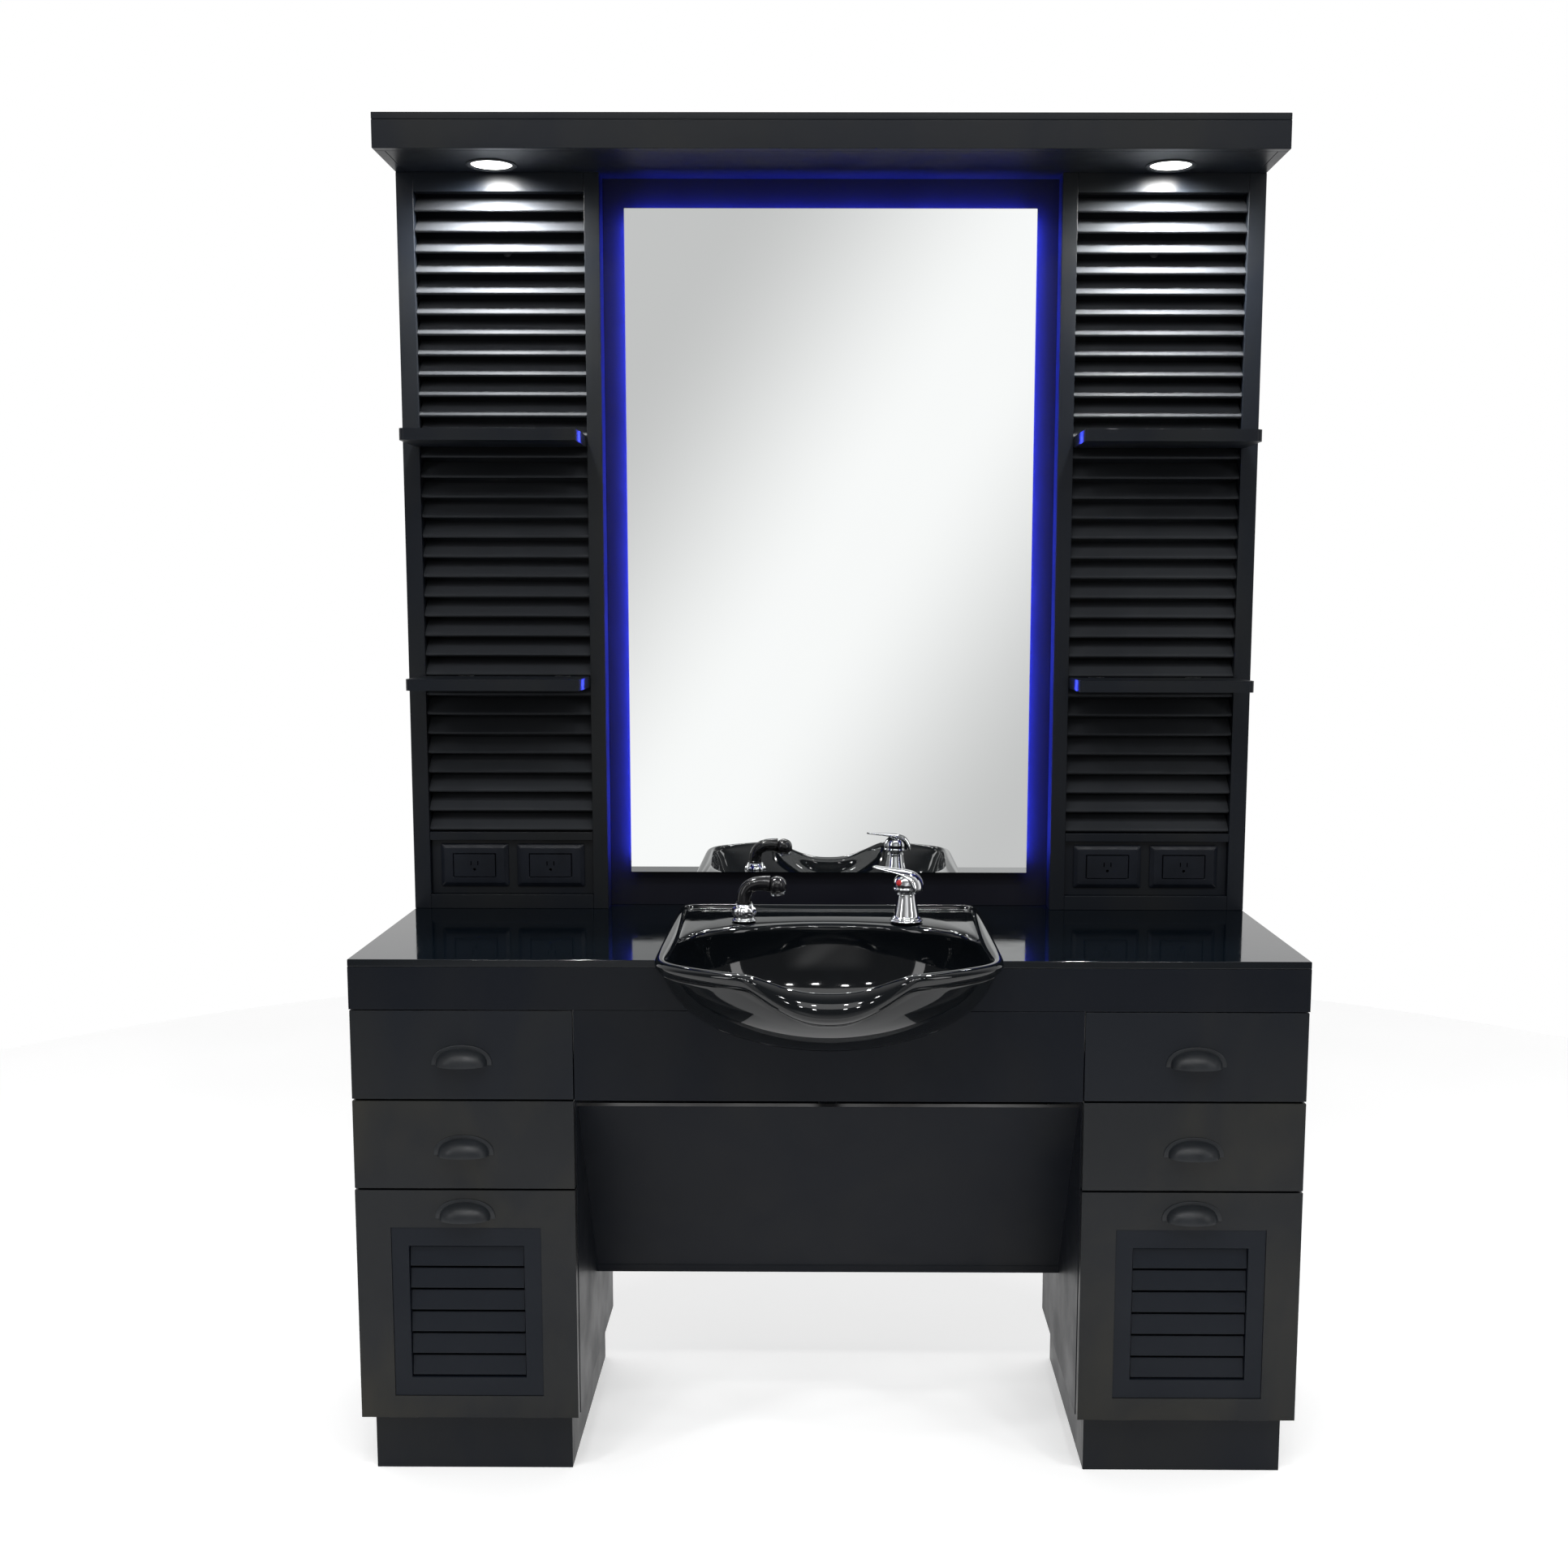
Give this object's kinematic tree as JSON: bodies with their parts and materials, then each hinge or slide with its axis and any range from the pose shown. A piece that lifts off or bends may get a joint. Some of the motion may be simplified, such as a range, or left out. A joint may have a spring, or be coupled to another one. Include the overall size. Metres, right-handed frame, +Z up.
{
  "type": "salon styling station",
  "caption": "Wall-side salon station with a shampoo bowl, drawer and hamper pedestals, louvred towers with shelves, a backlit mirror and a lit crown.",
  "frame": {"origin": "centre of the footprint on the floor", "axes": "+Z up, +Y towards the wall, the user stands on the -Y side, +X to the right of the user facing the mirror"},
  "size_m": [1.524, 0.7856, 2.228],
  "materials": {
    "gloss_laminate": "polished",
    "glazed_bowl": "polished",
    "chrome": "polished",
    "steel": "brushed",
    "copper_tails": "satin",
    "birch_box": "satin",
    "black_wood": "satin",
    "black_plastic": "satin",
    "black_metal": "semi-gloss",
    "mirror": "polished",
    "led_blue": "lit",
    "lamp_lens": "lit"
  },
  "bodies": {
    "station": {"plinths": "black_wood", "left_pedestal_carcass": "black_wood", "right_pedestal_carcass": "black_wood", "drawer_runners": "steel", "hamper_hinges": "steel", "counter_top": "gloss_laminate", "counter_fascia": "black_wood", "bowl_apron": "black_wood", "knee_space_panels": "black_wood", "shampoo_bowl": "glazed_bowl", "bowl_clamps": "steel", "drain_flange": "chrome", "p_trap": "chrome", "faucet_body": "chrome", "supply_tails": "copper_tails", "spray_socket": "chrome", "left_tower_carcass": "black_wood", "right_tower_carcass": "black_wood", "tower_face_frames": "black_wood", "tower_louvers": "black_wood", "shelves": "black_wood", "shelf_rods": "steel", "outlet_plates": "black_plastic", "receptacles": "black_plastic", "center_back_panel": "black_wood", "mirror_glass": "mirror", "mirror_backing": "black_wood", "led_strip": "led_blue", "crown_fascia": "black_wood", "crown_soffit": "black_wood", "crown_top": "black_wood", "spotlight_trims": "black_metal", "spotlight_lenses": "lamp_lens", "led_driver": "steel"},
    "strainer": {"strainer_basket": "chrome"},
    "mixer_swivel": {"faucet_cartridge": "chrome"},
    "mixer_lever": {"faucet_lever": "chrome"},
    "spray_hose_end": {"spray_ferrule": "black_plastic"},
    "hand_spray": {"spray_handle": "black_plastic", "spray_nozzle": "chrome"},
    "left_upper_drawer": {"left_upper_drawer_front": "black_wood", "left_upper_drawer_box": "birch_box", "left_upper_drawer_pull": "black_metal"},
    "left_lower_drawer": {"left_lower_drawer_front": "black_wood", "left_lower_drawer_box": "birch_box", "left_lower_drawer_pull": "black_metal"},
    "left_hamper": {"left_hamper_front": "black_wood", "left_hamper_vent": "black_wood", "left_hamper_bin": "black_wood", "left_hamper_pull": "black_metal"},
    "right_upper_drawer": {"right_upper_drawer_front": "black_wood", "right_upper_drawer_box": "birch_box", "right_upper_drawer_pull": "black_metal"},
    "right_lower_drawer": {"right_lower_drawer_front": "black_wood", "right_lower_drawer_box": "birch_box", "right_lower_drawer_pull": "black_metal"},
    "right_hamper": {"right_hamper_front": "black_wood", "right_hamper_vent": "black_wood", "right_hamper_bin": "black_wood", "right_hamper_pull": "black_metal"}
  },
  "joints": [
    {"name": "strainer_lift", "type": "slide", "parent": "station", "child": "strainer", "axis": [0, 0, 1], "range_m": [0, 0.06]},
    {"name": "mixer_turn", "type": "hinge", "parent": "station", "child": "mixer_swivel", "pos_m": [0.133, 0.08385, 0.942], "axis": [0, 0, 1], "range_deg": [-45, 45]},
    {"name": "mixer_lift", "type": "hinge", "parent": "mixer_swivel", "child": "mixer_lever", "pos_m": [0.133, 0.08385, 0.942], "axis": [0.3584, 0.9336, 0], "range_deg": [0, 15]},
    {"name": "spray_pull_out", "type": "slide", "parent": "station", "child": "spray_hose_end", "axis": [0, 0, 1], "range_m": [0, 0.3]},
    {"name": "spray_turn", "type": "hinge", "parent": "spray_hose_end", "child": "hand_spray", "pos_m": [-0.146, 0.08585, 0.905], "axis": [0, 0, 1], "range_deg": [-180, 180]},
    {"name": "left_upper_drawer_slide", "type": "slide", "parent": "station", "child": "left_upper_drawer", "axis": [0, -1, 0], "range_m": [0, 0.3]},
    {"name": "left_lower_drawer_slide", "type": "slide", "parent": "station", "child": "left_lower_drawer", "axis": [0, -1, 0], "range_m": [0, 0.3]},
    {"name": "left_hamper_tip", "type": "hinge", "parent": "station", "child": "left_hamper", "pos_m": [0, -0.14596, 0.0968], "axis": [1, 0, 0], "range_deg": [0, 28]},
    {"name": "right_upper_drawer_slide", "type": "slide", "parent": "station", "child": "right_upper_drawer", "axis": [0, -1, 0], "range_m": [0, 0.3]},
    {"name": "right_lower_drawer_slide", "type": "slide", "parent": "station", "child": "right_lower_drawer", "axis": [0, -1, 0], "range_m": [0, 0.3]},
    {"name": "right_hamper_tip", "type": "hinge", "parent": "station", "child": "right_hamper", "pos_m": [0, -0.14596, 0.0968], "axis": [1, 0, 0], "range_deg": [0, 28]}
  ]
}
